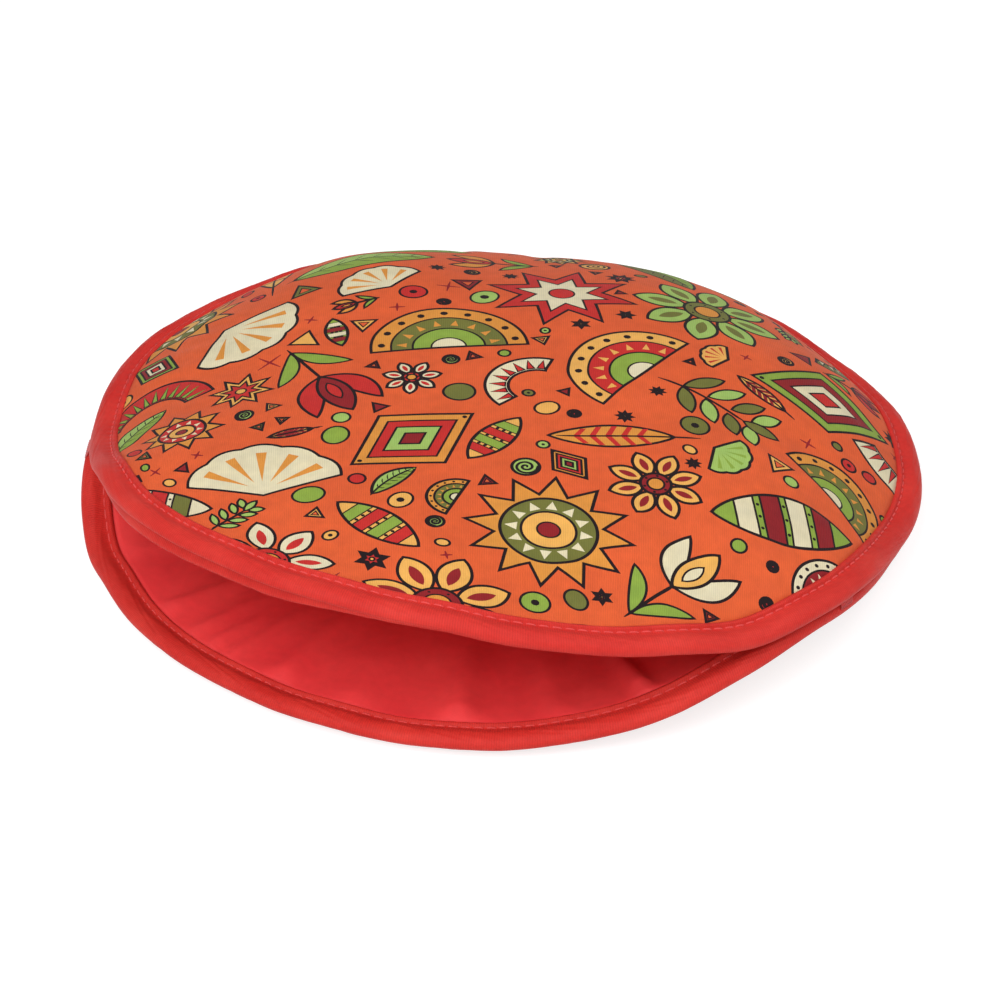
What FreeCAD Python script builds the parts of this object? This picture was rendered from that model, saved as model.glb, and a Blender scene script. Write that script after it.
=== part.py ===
"""Padded fabric tortilla warmer: two round quilted panels, each bound round its edge, sewn together round the back.

The frame has +Z up and stands on the table at z = 0, with the z axis through the middle of the pouch.
The mouth faces -Y. Bearings are degrees anticlockwise from +X, seen from above. Lengths are millimetres.
"""
import FreeCAD
import Part
import functools
import math
import os

# Plan of both panels.
outer_radius = 150.5         # over the bindings: a nominal 12 inch pouch
tape_width = 11.0            # how far the binding tape laps onto each side of a panel
tape_thickness = 0.8
bound_edge_thickness = 6.0   # a bound edge over both laps of its tape
base_radius = 88.0           # the part of the bottom panel that lies flat on the table

# Layers of a panel, from the printed side to the lined side.
cover_thickness = 0.5
batting_thickness = 3.0
lining_thickness = 0.5
layer_clearance = 0.15       # slack between neighbouring layers, and between the layers and the tape
seam_clearance = 1.2         # between the two bound edges where they are sewn together

# Height of the middle of the top panel's bound edge above the table, by bearing.
# The lip is lifted at the front left and sinks towards the right end of the mouth.
top_edge_stations = [
    (5.0, 15.0),
    (50.0, 11.5),
    (100.0, 13.0),
    (150.0, 25.5),
    (200.0, 30.0),
    (228.0, 50.5),
    (260.0, 54.3),
    (332.0, 28.5),
]
# How far the bottom lip hangs below the top lip once past touching it.
lip_drop_stations = [
    (200.0, 0.0),
    (222.0, 36.0),
    (258.0, 43.0),
    (290.0, 32.3),
    (324.0, 1.5),
    (340.0, 0.0),
]
mouth_start_bearing = 200.0
mouth_end_bearing = 340.0

# The domed top and the dished bottom.
crown_height = 61.0          # the top panel's outer face at the middle, above the table
dome_fullness = 4.0          # a higher value gives a flatter crown with steeper sides
dome_softness = 1.2          # how gently the dome runs out at the binding
base_trim = 0.3              # how far the dished face dips below the table before it is trimmed flat

# The living fold across the top panel, on the chord between the two ends of the mouth.
fold_behind_hinge = 11.0
fold_ahead_of_hinge = 29.0
fold_cut_clearance = 0.3

# Thread.
thread_radius = 0.2
stitch_pitch = 4.2
stitch_length = 3.4
topstitch_inset = 8.5        # from the outer edge to the row that holds a binding
thread_clearance = 0.12      # between a thread and the tape that it lies on
seam_inset = 4.0             # from the outer edge to the row that joins the panels
bar_tack_radius = 0.4
bar_tack_pitch = 0.9
bar_tack_threads = 9
bar_tack_reach = 2.0         # how far a tack's threads run up and down the two bindings

# Sizes that follow from the ones above.
panel_radius = outer_radius - tape_width
layer_radius = outer_radius - tape_thickness - layer_clearance
core_thickness = cover_thickness + batting_thickness + lining_thickness + 2 * layer_clearance
hinge_y = outer_radius * math.sin(math.radians(mouth_start_bearing))
fold_front_y = hinge_y - fold_ahead_of_hinge
fold_back_y = hinge_y + fold_behind_hinge

grid_step = 8.0              # spacing of the points through which a panel's face is drawn
grid_span = outer_radius + 1.5 * grid_step
tall = 4 * crown_height      # longer than anything it cuts


def ease(share):
    """0 to 1 along an S, level at both ends."""
    share = min(max(share, 0.0), 1.0)
    return share * share * (3 - 2 * share)


def along_rim(stations, bearing):
    """The value at a bearing, eased from each station to the next one round the rim."""
    bearing = (bearing - stations[0][0]) % 360 + stations[0][0]
    for (start, low), (end, high) in zip(stations, stations[1:] + [(stations[0][0] + 360, stations[0][1])]):
        if bearing <= end:
            return low + (high - low) * ease((bearing - start) / (end - start))


def bearing_of(x, y):
    return math.degrees(math.atan2(y, x)) % 360


def top_edge_height(bearing):
    return along_rim(top_edge_stations, bearing)


def bottom_edge_height(bearing):
    apart = bound_edge_thickness + seam_clearance + along_rim(lip_drop_stations, bearing)
    return top_edge_height(bearing) - apart


def top_panel_middle(x, y):
    """Height of the middle of the top panel's layers."""
    share = min(math.hypot(x, y) / panel_radius, 1.0)
    edge = top_edge_height(bearing_of(x, y))
    rise = crown_height - core_thickness / 2 - edge
    return edge + rise * (1 - share**dome_fullness) ** dome_softness


def bottom_panel_middle(x, y):
    """Height of the middle of the bottom panel's layers."""
    share = (math.hypot(x, y) - base_radius) / (panel_radius - base_radius)
    flat = core_thickness / 2 - base_trim
    return flat + (bottom_edge_height(bearing_of(x, y)) - flat) * ease(share)


def level_surface(height):
    """One smooth surface over the whole plan, drawn through a square grid of heights."""
    count = int(2 * grid_span / grid_step) + 1
    ticks = [-grid_span + grid_step * n for n in range(count + 1)]
    surface = Part.BSplineSurface()
    surface.interpolate([[FreeCAD.Vector(x, y, height(x, y)) for y in ticks] for x in ticks])
    return surface


@functools.lru_cache(maxsize=None)
def height_on(surface, x, y):
    """Height of a surface over a point of the plan, closed in on by way of the surface's nearest points."""
    height = crown_height / 2
    for _ in range(3):
        height = surface.value(*surface.parameter(FreeCAD.Vector(x, y, height))).z
    return height


def slab(surface, below, above):
    """The solid between two copies of a surface, at these distances from it."""
    face = surface.toShape()
    return face.translated(FreeCAD.Vector(0, 0, below)).extrude(FreeCAD.Vector(0, 0, above - below))


def disc(radius):
    return Part.makeCylinder(radius, 2 * tall, FreeCAD.Vector(0, 0, -tall))


def between(low_y, high_y):
    return Part.makeBox(2 * tall, high_y - low_y, 2 * tall, FreeCAD.Vector(-tall, low_y, -tall))


rear_zone = between(fold_back_y, tall)
fold_zone = between(fold_front_y + fold_cut_clearance, fold_back_y - fold_cut_clearance)
flap_zone = between(-tall, fold_front_y)


def panel_layers(surface, cover_side):
    """A panel's cover, batting and lining. The cover is on top if cover_side is 1, and underneath if it is -1."""
    made = []
    reached = -core_thickness / 2
    thicknesses = [lining_thickness, batting_thickness, cover_thickness][::cover_side]
    for thickness in thicknesses:
        made.append(slab(surface, reached, reached + thickness).common(disc(layer_radius)))
        reached += thickness + layer_clearance
    return made[::-1] if cover_side == 1 else made


def binding(surface):
    """The tape folded over a panel's edge: a lap above, a lap below and the turn between them."""
    half = bound_edge_thickness / 2
    inside = half - tape_thickness
    ring = slab(surface, -half, half).common(disc(outer_radius).cut(disc(panel_radius)))
    return ring.cut(slab(surface, -inside, inside).common(disc(outer_radius - tape_thickness)))


def thread_between(start, end, radius):
    return Part.makeCylinder(radius, start.distanceToPoint(end), start, end - start)


def stitch_row(surface, side, low_y=-tall, high_y=tall):
    """The stitches on one side of a binding, above the tape if side is 1 and below it if side is -1.

    They go round the whole edge and are kept where a stitch's middle lies between two y values."""
    radius = outer_radius - topstitch_inset
    off_middle = side * (bound_edge_thickness / 2 + thread_radius + thread_clearance)
    count = round(2 * math.pi * radius / stitch_pitch)
    half_turn = stitch_length / radius / 2
    made = []
    for n in range(count):
        turn = 2 * math.pi * n / count
        if not low_y <= radius * math.sin(turn) < high_y:
            continue
        ends = []
        for angle in (turn - half_turn, turn + half_turn):
            x, y = radius * math.cos(angle), radius * math.sin(angle)
            ends.append(FreeCAD.Vector(x, y, height_on(surface, x, y) + off_middle))
        made.append(thread_between(ends[0], ends[1], thread_radius))
    return Part.makeCompound(made)


def joining_seam(top_surface, bottom_surface):
    """Links of thread between the two bound edges, from one end of the mouth round the back to the other."""
    radius = outer_radius - seam_inset
    half_edge = bound_edge_thickness / 2 + thread_clearance
    closed = 360 - (mouth_end_bearing - mouth_start_bearing)
    count = int(math.radians(closed) * radius / stitch_pitch)
    made = []
    for n in range(count + 1):
        bearing = mouth_end_bearing + closed * n / count
        x = radius * math.cos(math.radians(bearing))
        y = radius * math.sin(math.radians(bearing))
        low = FreeCAD.Vector(x, y, height_on(bottom_surface, x, y) + half_edge)
        high = FreeCAD.Vector(x, y, height_on(top_surface, x, y) - half_edge)
        made.append(thread_between(low, high, thread_radius))
    return Part.makeCompound(made)


def bar_tack(mouth_bearing):
    """A block of upright threads over the outside of both bindings, where the mouth ends."""
    radius = outer_radius + bar_tack_radius + thread_clearance
    step = math.degrees(bar_tack_pitch / radius)
    made = []
    for n in range(bar_tack_threads):
        bearing = mouth_bearing + step * (n - (bar_tack_threads - 1) / 2)
        x = radius * math.cos(math.radians(bearing))
        y = radius * math.sin(math.radians(bearing))
        middle = (top_edge_height(mouth_bearing) + bottom_edge_height(mouth_bearing)) / 2
        reach = (bound_edge_thickness + seam_clearance) / 2 + bar_tack_reach
        low, high = FreeCAD.Vector(x, y, middle - reach), FreeCAD.Vector(x, y, middle + reach)
        made.append(thread_between(low, high, bar_tack_radius))
    return Part.makeCompound(made)


def build_top(surface):
    cover, batting, lining = panel_layers(surface, 1)
    whole = {"cover": cover, "batting": batting, "lining": lining, "binding": binding(surface)}
    zones = {"rear": rear_zone, "fold": fold_zone, "flap": flap_zone}
    nodes = {}
    for piece, shape in whole.items():
        for zone, room in zones.items():
            nodes[f"top_{piece}_{zone}"] = shape.common(room)
    spans = {"rear": (fold_back_y, tall), "fold": (fold_front_y, fold_back_y), "flap": (-tall, fold_front_y)}
    for zone, (low_y, high_y) in spans.items():
        nodes[f"top_needle_thread_{zone}"] = stitch_row(surface, 1, low_y, high_y)
        nodes[f"top_bobbin_thread_{zone}"] = stitch_row(surface, -1, low_y, high_y)
    return nodes


def build_bottom(surface):
    cover, batting, lining = panel_layers(surface, -1)
    above_table = Part.makeBox(2 * tall, 2 * tall, tall, FreeCAD.Vector(-tall, -tall, 0))
    return {
        "bottom_cover": cover.common(above_table),
        "bottom_batting": batting,
        "bottom_lining": lining,
        "bottom_binding": binding(surface),
        "bottom_needle_thread": stitch_row(surface, -1),
        "bottom_bobbin_thread": stitch_row(surface, 1),
    }


def build_seam(top_surface, bottom_surface):
    return {
        "joining_seam_thread": joining_seam(top_surface, bottom_surface),
        "bar_tack_left": bar_tack(mouth_start_bearing),
        "bar_tack_right": bar_tack(mouth_end_bearing),
    }


def main():
    os.makedirs("parts", exist_ok=True)
    top_surface = level_surface(top_panel_middle)
    bottom_surface = level_surface(bottom_panel_middle)
    nodes = {
        **build_top(top_surface),
        **build_bottom(bottom_surface),
        **build_seam(top_surface, bottom_surface),
    }
    for name, shape in nodes.items():
        shape.exportStep(f"parts/{name}.step")


main()
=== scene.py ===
"""Looks of the padded tortilla warmer: printed covers, padding, plain lining, ribbed bindings and stitches.

Lengths are millimetres and bearings are degrees anticlockwise from +X. Meshes are made in metres.
The mouth faces -Y. The top panel's pieces are baked where they lie and attached to no body.
All the rest is on "pouch".
"""

import math
import random

import bpy
import numpy as np
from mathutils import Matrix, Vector
from mathutils.bvhtree import BVHTree
from mathutils.geometry import delaunay_2d_cdt


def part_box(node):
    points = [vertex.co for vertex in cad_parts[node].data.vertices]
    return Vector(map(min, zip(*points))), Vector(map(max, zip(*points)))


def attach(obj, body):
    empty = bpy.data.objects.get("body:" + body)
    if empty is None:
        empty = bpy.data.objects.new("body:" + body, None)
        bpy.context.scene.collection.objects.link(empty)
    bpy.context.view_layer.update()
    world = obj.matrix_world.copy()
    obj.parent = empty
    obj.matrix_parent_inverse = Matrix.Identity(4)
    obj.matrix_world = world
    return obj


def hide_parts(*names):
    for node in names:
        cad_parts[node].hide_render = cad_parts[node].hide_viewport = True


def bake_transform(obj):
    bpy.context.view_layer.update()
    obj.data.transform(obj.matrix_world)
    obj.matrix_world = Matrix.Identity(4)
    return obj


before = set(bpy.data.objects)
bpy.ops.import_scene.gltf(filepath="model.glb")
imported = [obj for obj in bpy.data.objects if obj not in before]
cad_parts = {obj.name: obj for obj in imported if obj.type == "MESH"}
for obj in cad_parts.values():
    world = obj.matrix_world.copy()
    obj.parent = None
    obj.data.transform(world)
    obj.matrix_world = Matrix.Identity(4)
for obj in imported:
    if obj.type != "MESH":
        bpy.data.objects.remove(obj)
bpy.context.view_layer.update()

MM = 0.001

# ---------------------------------------------------------------- sizes taken from the frame
edge_low, edge_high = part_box("bottom_binding")
OUTER_RADIUS = (edge_high.x - edge_low.x) / 2 / MM
TAPE_WIDTH = 11.0
BINDING_RADIUS = OUTER_RADIUS - TAPE_WIDTH / 2

# ---------------------------------------------------------------- how the pouch lies
# Each list holds (bearing, value) stations round the edge.
# Height of the middle of the top bound edge above the table, and how far the bottom lip is from touching it.
TOP_EDGE = [
    (5, 14.3), (28, 14.4), (50, 11), (75, 12.8), (100, 12.5), (120, 17.5), (140, 24.7), (156, 24.8),
    (173, 28.4), (190, 29.8), (202, 31.4), (212, 38.4), (222, 47.6), (235, 51.2), (250, 54), (266, 54.1),
    (280, 52.1), (290, 47), (300, 41.4), (310, 37), (322, 30), (336, 28.7), (350, 23.2),
]
LIP_APART = [
    (0, 0), (100, 0), (190, 0), (198, 0.9), (207, 16), (216, 33.2), (226, 39.4), (245, 43.9), (262, 44.4),
    (280, 42.2), (292, 34.9), (302, 26.6), (311, 18), (321, 5.2), (332, 0.6), (345, 0),
]
# How far each bound edge leans, outer side down, in degrees. They lean alike where they are sewn together.
TOP_LEAN = [
    (0, 24), (40, 28), (90, 24), (140, 22), (180, 20), (210, 14), (240, 6), (280, 8), (310, 15), (335, 22),
]
BOTTOM_LEAN = [
    (0, 24), (40, 28), (90, 24), (140, 22), (180, 20), (210, 4), (240, -4), (280, -2), (310, 8), (335, 22),
]
# How far the top edge sits in from a true circle, and the bottom lip stands out past the top one.
TOP_DRAWN_IN = [
    (0, 2.9), (30, 0.2), (60, -0.5), (90, -0.2), (120, 1.4), (150, 0.3), (180, -0.1), (190, 0.9),
    (200, 1.8), (209, 1.5), (219, -0.3), (235, -0.8), (255, 0.6), (275, -0.6), (295, 0.3), (315, -0.8),
    (335, 0),
]
LIP_PUSHED_OUT = [
    (0, 0), (90, 0), (188, 0), (203, 5.3), (212, 5.5), (222, 2.3), (235, 0.3), (255, 0.3), (275, 0.8),
    (295, 1.4), (312, 2.4), (330, 1.2), (345, 1.2), (358, 0),
]
# Where the lower half of the top tape hangs slack, from 0 to 1.
LIP_SLACK = [
    (0, 0), (100, 0), (202, 0), (216, 0.6), (230, 1), (250, 1), (262, 0.8), (272, 0.3), (284, 0.1),
    (300, 0), (330, 0),
]
# Soft folds in the linings: bearing, width, height and inner end as a share of the radius.
TOP_LINING_FOLDS = [(222, 7, 1.2, 0.6), (246, 10, 1.6, 0.55), (272, 8, 1.0, 0.6), (300, 9, 1.4, 0.6)]
BOTTOM_LINING_FOLDS = [
    (216, 5, 1.6, 0.6), (232, 4, 2.4, 0.6), (239, 3, 1.8, 0.7), (243, 3, 1.8, 0.72), (247, 3, 1.4, 0.7),
    (256, 6, 3.0, 0.5), (268, 7, 1.6, 0.5), (283, 7, 4.0, 0.45), (297, 6, 1.4, 0.6), (309, 3.5, 4.4, 0.6),
]
MOUTH_START, MOUTH_END = 200.0, 340.0
EDGES_TOUCH = 6.3            # from the middle of one bound edge to the other's where they are sewn

CROWN_HEIGHT = 60.0          # the middle of the top panel above the table, before it is uneven
DOME_RISE = 33.0             # from the top edge to the crown, for the length of the cloth's section
DOME_FULLNESS = 3.0
DOME_STEEPNESS = 0.85
DOME_LUMPS = [(-85, 60, 42, 5.6), (-25, 88, 36, -4.4), (60, -10, 40, -1.6)]     # x, y, reach and height
BASE_RADIUS = 84.0
PANEL_THICKNESS = 5.2        # a panel through its padding, away from the bound edge
WARP_SLANT = 20.0            # the printed cloth's warp is turned this far from the line square to the mouth
COVER_TUCK = 1.35            # a cloth's height off the middle of the edge where it goes under the tape
LAYER_OVERLAP = 0.4          # how far the layers reach in under the tape

BULGE_MIDDLE = 4.4           # the thickest part of the tape's roll, in from its outer edge
BULGE_HEIGHT = 3.0
GROOVE_INSET = 8.5           # where the stitches run
GROOVE_HEIGHT = 1.6
RIDGE_HEIGHT = 2.6           # the tape's inner edge
STITCHES = 212
STITCH_PITCH = 4.2
STEPS_PER_STITCH = 6
STITCH_PULL = 0.16           # how far a stitch pulls the tape in
SLACK_DROP, SLACK_CREASE, SLACK_OUT = 3.2, 2.0, 1.3     # the slack roll hangs down, is creased and stands out

COVER_PITCH = 2.4            # spacing of each cloth's points
BATTING_PITCH = 6.0
LINING_PITCH = 2.6
LINING_THICKNESS = 0.5
SLACK = 1.1                  # between the batting and the lining


def smooth(share):
    share = np.clip(share, 0.0, 1.0)
    return share * share * (3 - 2 * share)


def unit(vectors):
    return vectors / np.maximum(np.linalg.norm(vectors, axis=-1, keepdims=True), 1e-9)


def closed_curve(stations):
    """A smooth function of bearing through (bearing, value) stations, the same after a full turn."""
    at, value = np.array(stations, float).T
    at = np.concatenate([at[-2:] - 360, at, at[:3] + 360])
    value = np.concatenate([value[-2:], value, value[:3]])
    slope = np.zeros_like(value)
    slope[1:-1] = (value[2:] - value[:-2]) / (at[2:] - at[:-2])

    def read(bearing):
        b = (np.asarray(bearing, float) - stations[0][0]) % 360 + stations[0][0]
        i = np.clip(np.searchsorted(at, b, "right") - 1, 1, len(at) - 3)
        span = at[i + 1] - at[i]
        t = (b - at[i]) / span
        start, end = (2 * t**3 - 3 * t**2 + 1) * value[i], (3 * t**2 - 2 * t**3) * value[i + 1]
        return start + (t**3 - 2 * t**2 + t) * span * slope[i] + end + (t**3 - t**2) * span * slope[i + 1]

    return read


top_edge = closed_curve(TOP_EDGE)
lip_apart = closed_curve(LIP_APART)
top_lean = closed_curve(TOP_LEAN)
bottom_lean = closed_curve(BOTTOM_LEAN)
top_drawn_in = closed_curve(TOP_DRAWN_IN)
lip_pushed_out = closed_curve(LIP_PUSHED_OUT)


def bottom_edge(bearing):
    below = EDGES_TOUCH * np.cos(np.radians(top_lean(bearing))) + np.maximum(lip_apart(bearing), 0)
    return top_edge(bearing) - below


def bottom_drawn_in(bearing):
    """How far the bottom edge sits in from a true circle: it lies square under the leaning top edge."""
    aside = EDGES_TOUCH * np.sin(np.radians(top_lean(bearing)))
    return top_drawn_in(bearing) + aside - lip_pushed_out(bearing)


def ripple(bearing, seed, waves, size):
    """Gentle unevenness along an edge: a few waves of different lengths that close after a full turn."""
    chance = np.random.default_rng(seed)
    total = np.zeros_like(np.asarray(bearing, float))
    for count in waves:
        total = total + np.sin(np.radians(bearing) * count + chance.uniform(0, 2 * math.pi))
    return total * size / math.sqrt(len(waves))


class Edge:
    """One bound edge: where a point of the binding's cross-section lies, at each bearing."""

    def __init__(self, height, lean, inset):
        self.height, self.lean, self.inset = height, lean, inset

    def place(self, bearing, across, up):
        """across runs outwards from the middle of the tape and up stands off the panel, before it leans."""
        bearing = np.asarray(bearing, float)
        lean = np.radians(self.lean(bearing) + ripple(bearing, 11, (7, 11, 17), 2.0))
        level = self.height(bearing) + ripple(bearing, 12, (9, 14, 23), 0.35)
        wander = ripple(bearing, 13, (5, 8, 13), 0.5) - self.inset(bearing)
        radius = BINDING_RADIUS + wander + across * np.cos(lean) + up * np.sin(lean)
        height = level - across * np.sin(lean) + up * np.cos(lean)
        around = np.radians(bearing)
        return np.stack([radius * np.cos(around), radius * np.sin(around), height], -1)


TOP = Edge(top_edge, top_lean, top_drawn_in)
BOTTOM = Edge(bottom_edge, bottom_lean, bottom_drawn_in)


# ---------------------------------------------------------------- the panels' faces
def dome_swell(plan):
    """Share of the dome's rise at shares of its plan radius."""
    return (1 - plan**DOME_FULLNESS) ** DOME_STEEPNESS


def arc_table(rise, run):
    """Shares of the dome's plan radius, how far along the cloth each one lies, and the cloth's radius."""
    plan = np.sin(np.linspace(0, math.pi / 2, 400))
    steps = np.hypot(np.diff(plan * run), np.diff(rise * dome_swell(plan)))
    along = np.concatenate([[0], np.cumsum(steps)])
    return plan, along / along[-1], along[-1]


PLAN_SHARE, CLOTH_SHARE, CLOTH_RADIUS = arc_table(DOME_RISE, OUTER_RADIUS - TAPE_WIDTH)


def polar(flat):
    """Share of the cloth's radius, and bearing, of points on the flat cloth."""
    return np.hypot(flat[:, 0], flat[:, 1]) / CLOTH_RADIUS, np.degrees(np.arctan2(flat[:, 1], flat[:, 0]))


def unevenness(flat):
    """How the padding has shifted: where the dome stands fuller or slacker than its section."""
    total = 0.0
    for x, y, reach, height in DOME_LUMPS:
        total = total + height * np.exp(-((flat[:, 0] - x) ** 2 + (flat[:, 1] - y) ** 2) / reach**2)
    return total


def dome(flat, lift, tuck):
    """The top panel's upper face (lift 0, tuck COVER_TUCK) or a copy of it further down."""
    share, bearing = polar(flat)
    plan = np.interp(share, CLOTH_SHARE, PLAN_SHARE)
    rim = TOP.place(bearing, LAYER_OVERLAP - TAPE_WIDTH / 2, tuck)
    crown = CROWN_HEIGHT + lift + unevenness(flat)
    height = rim[:, 2] + (crown - rim[:, 2]) * dome_swell(np.minimum(plan, 1))
    return np.stack([rim[:, 0] * plan, rim[:, 1] * plan, height], -1)


def dish(flat, lift, tuck):
    """The bottom panel's lower face (lift 0, tuck -COVER_TUCK) or a copy of it further up."""
    share, bearing = polar(flat)
    rim = BOTTOM.place(bearing, LAYER_OVERLAP - TAPE_WIDTH / 2, tuck)
    reach = np.hypot(rim[:, 0], rim[:, 1])
    rise = np.clip((share * reach - BASE_RADIUS) / (reach - BASE_RADIUS), 0, 1)
    height = lift + (rim[:, 2] - lift) * rise**1.7
    return np.stack([rim[:, 0] * share, rim[:, 1] * share, height], -1)


def normals_of(surface, flat, step=0.4):
    along_x = surface(flat + [step, 0]) - surface(flat - [step, 0])
    along_y = surface(flat + [0, step]) - surface(flat - [0, step])
    return unit(np.cross(along_x, along_y))


# ---------------------------------------------------------------- cloth that puckers where it is sewn down
FIELD_STEP = 1.0             # spacing of the square grid on which puckers are held
FIELD_HALF = 160
FIELD_SIDE = 2 * FIELD_HALF + 1
SIM_PITCH = 4.2              # spacing of the simulated cloth's points
SIM_FRAMES = 24
SIM_SCALE = 10 * MM          # the simulated cloth is ten times life size


def ring_points(radius, pitch):
    points = [(0.0, 0.0)]
    rings = round(radius / pitch)
    for n in range(1, rings + 1):
        r = radius * n / rings
        count = round(2 * math.pi * r / pitch)
        for k in range(count):
            turn = 2 * math.pi * (k + n % 2 / 2) / count
            points.append((r * math.cos(turn), r * math.sin(turn)))
    return np.array(points)


def simulated_puckers(surface, growth, pressure, seed):
    """How far cloth with its rim sewn down settles off a smooth face, on a square grid of flat cloth."""
    flat = ring_points(CLOTH_RADIUS, SIM_PITCH)
    faces = delaunay_2d_cdt([Vector(p) for p in flat], [], [], 0, 1e-5, False)[2]
    rest = surface(flat)
    normal = normals_of(surface, flat * 0.995)
    start = rest + normal * np.random.default_rng(seed).uniform(-0.05, 0.05, len(rest))[:, None]
    mesh = bpy.data.meshes.new("sim")
    mesh.from_pydata((start * SIM_SCALE).tolist(), [], faces)
    cloth = bpy.data.objects.new("sim", mesh)
    bpy.context.scene.collection.objects.link(cloth)
    group = cloth.vertex_groups.new(name="sewn")
    rim = np.flatnonzero(np.hypot(flat[:, 0], flat[:, 1]) > CLOTH_RADIUS - 0.5)
    group.add(rim.tolist(), 1.0, "REPLACE")
    modifier = cloth.modifiers.new("cloth", "CLOTH")
    s = modifier.settings
    s.quality = 6
    s.mass = 0.15
    s.tension_stiffness = s.compression_stiffness = 40
    s.shear_stiffness = 20
    s.bending_stiffness = 0.8
    s.tension_damping = s.compression_damping = 20
    s.air_damping = 4
    s.shrink_min = -growth
    s.vertex_group_mass = "sewn"
    s.use_pressure = True
    s.uniform_pressure_force = pressure
    s.effector_weights.gravity = 0.3
    modifier.point_cache.frame_end = SIM_FRAMES
    scene = bpy.context.scene
    for n in range(1, SIM_FRAMES + 1):
        scene.frame_set(n)
    settled = cloth.evaluated_get(bpy.context.evaluated_depsgraph_get())
    found = np.array([v.co for v in settled.data.vertices]) / SIM_SCALE
    scene.frame_set(1)
    bpy.data.objects.remove(cloth)
    bpy.data.meshes.remove(mesh)
    return spread_on_grid(flat, faces, ((found - rest) * normal).sum(1))


def spread_on_grid(flat, faces, value):
    """Values at the corners of a flat mesh, read on a square grid and softened a little."""
    tree = BVHTree.FromPolygons([(x, y, 0) for x, y in flat], faces)
    grid = np.zeros((FIELD_SIDE, FIELD_SIDE))
    for i, j in np.ndindex(*grid.shape):
        at = (np.array([i, j]) - FIELD_HALF) * FIELD_STEP
        if (at**2).sum() > CLOTH_RADIUS**2:
            continue
        index = tree.ray_cast(Vector((*at, 1)), Vector((0, 0, -1)))[2]
        if index is None:
            continue
        a, b, c = faces[index]
        ab, ac, off = flat[b] - flat[a], flat[c] - flat[a], at - flat[a]
        whole = cross2(ab, ac)
        wb, wc = cross2(off, ac) / whole, cross2(ab, off) / whole
        grid[i, j] = value[a] * (1 - wb - wc) + value[b] * wb + value[c] * wc
    return blurred(grid, 1.6)


def cross2(a, b):
    return a[0] * b[1] - a[1] * b[0]


def blurred(grid, width):
    reach = int(width * 3)
    kernel = np.exp(-np.arange(-reach, reach + 1) ** 2 / (2 * width**2))
    kernel /= kernel.sum()
    for axis in (0, 1):
        grid = np.apply_along_axis(lambda row: np.convolve(row, kernel, "same"), axis, grid)
    return grid


def fine_part(grid, coarse, deepest, tallest):
    """The puckers alone: a grid less its own broad shape, faded out at the rim, kept between two heights."""
    step = np.arange(-FIELD_HALF, FIELD_HALF + 1) * FIELD_STEP
    share = np.hypot(step[:, None], step[None, :]) / CLOTH_RADIUS
    cloth = (share < 1).astype(float)
    fine = grid - blurred(grid * cloth, coarse) / np.maximum(blurred(cloth, coarse), 0.05)
    fine = np.where(fine > 0, tallest * np.tanh(fine / tallest), deepest * np.tanh(fine / deepest))
    return fine * smooth((1 - share) / 0.06)


def read_grid(grid, flat):
    """Smoothly interpolated values of a grid at points on the flat cloth."""
    p = np.clip(flat / FIELD_STEP + FIELD_HALF, 1, 2 * FIELD_HALF - 2)
    i = np.floor(p).astype(int)
    t = p - i
    total = np.zeros(len(flat))
    for dx in (-1, 0, 1, 2):
        for dy in (-1, 0, 1, 2):
            weight = cubic_weight(t[:, 0] - dx) * cubic_weight(t[:, 1] - dy)
            total += weight * grid[i[:, 0] + dx, i[:, 1] + dy]
    return total


def cubic_weight(t):
    t = np.abs(t)
    return np.where(t < 1, 2 / 3 - t**2 + t**3 / 2, np.where(t < 2, (2 - t) ** 3 / 6, 0))


# ---------------------------------------------------------------- meshes
def make_mesh(name, points, faces):
    mesh = bpy.data.meshes.new(name)
    mesh.from_pydata((np.asarray(points) * MM).tolist(), [], [tuple(int(i) for i in f) for f in faces])
    mesh.polygons.foreach_set("use_smooth", [True] * len(mesh.polygons))
    mesh.update()
    made = bpy.data.objects.new(name, mesh)
    bpy.context.scene.collection.objects.link(made)
    return made


def set_cloth_map(obj, corners):
    """Writes the flat cloth's coordinates, in millimetres, as the piece's UV map "cloth"."""
    layer = obj.data.uv_layers.new(name="cloth")
    index = np.zeros(len(obj.data.loops), np.int32)
    obj.data.loops.foreach_get("vertex_index", index)
    layer.data.foreach_set("uv", np.asarray(corners)[index][:, :2].astype(np.float32).ravel())


# ---------------------------------------------------------------- the print
# A motif is a list of (outline, colour), each laid over the ones before it.
INK_WIDTH = 1.15
LENS_POWER = 0.85            # how blunt a pointed oval's ends are
PRINT_CELL = 0.8             # a motif's room is noted on a grid this fine
PALETTE = {
    "ground": (215, 91, 50), "ink": (30, 20, 24), "tan": (226, 168, 88), "amber": (212, 140, 62),
    "olive": (108, 110, 54), "green": (132, 160, 66), "mint": (152, 184, 98), "red": (190, 44, 42),
    "wine": (136, 32, 38), "cream": (218, 208, 176),
}


def linear(rgb):
    return [((c / 255 + 0.055) / 1.055) ** 2.4 if c > 10 else c / 255 / 12.92 for c in rgb]


def pairs(x, y):
    """Points from their x and y values, where either may be one number for them all."""
    return np.stack(np.broadcast_arrays(x, y), -1)


def on_round(radius, turn):
    """Points at these distances from the middle, turned by these angles in radians."""
    return pairs(radius * np.cos(turn), radius * np.sin(turn))


def loop(radius, sides=None, at=(0, 0), squeeze=1.0):
    count = sides or max(8, int(2 * math.pi * radius / 0.9))
    return on_round(radius, 2 * math.pi * np.arange(count) / count) * [1, squeeze] + at


def half_round(radius):
    return on_round(radius, np.linspace(0, math.pi, max(8, int(radius * 3.2))))


def spiked(radius, waist, points):
    """A star whose inner corners lie at a share of its radius."""
    n = np.arange(2 * points)
    return on_round(np.where(n % 2, radius * waist, radius), math.pi * n / points)


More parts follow.
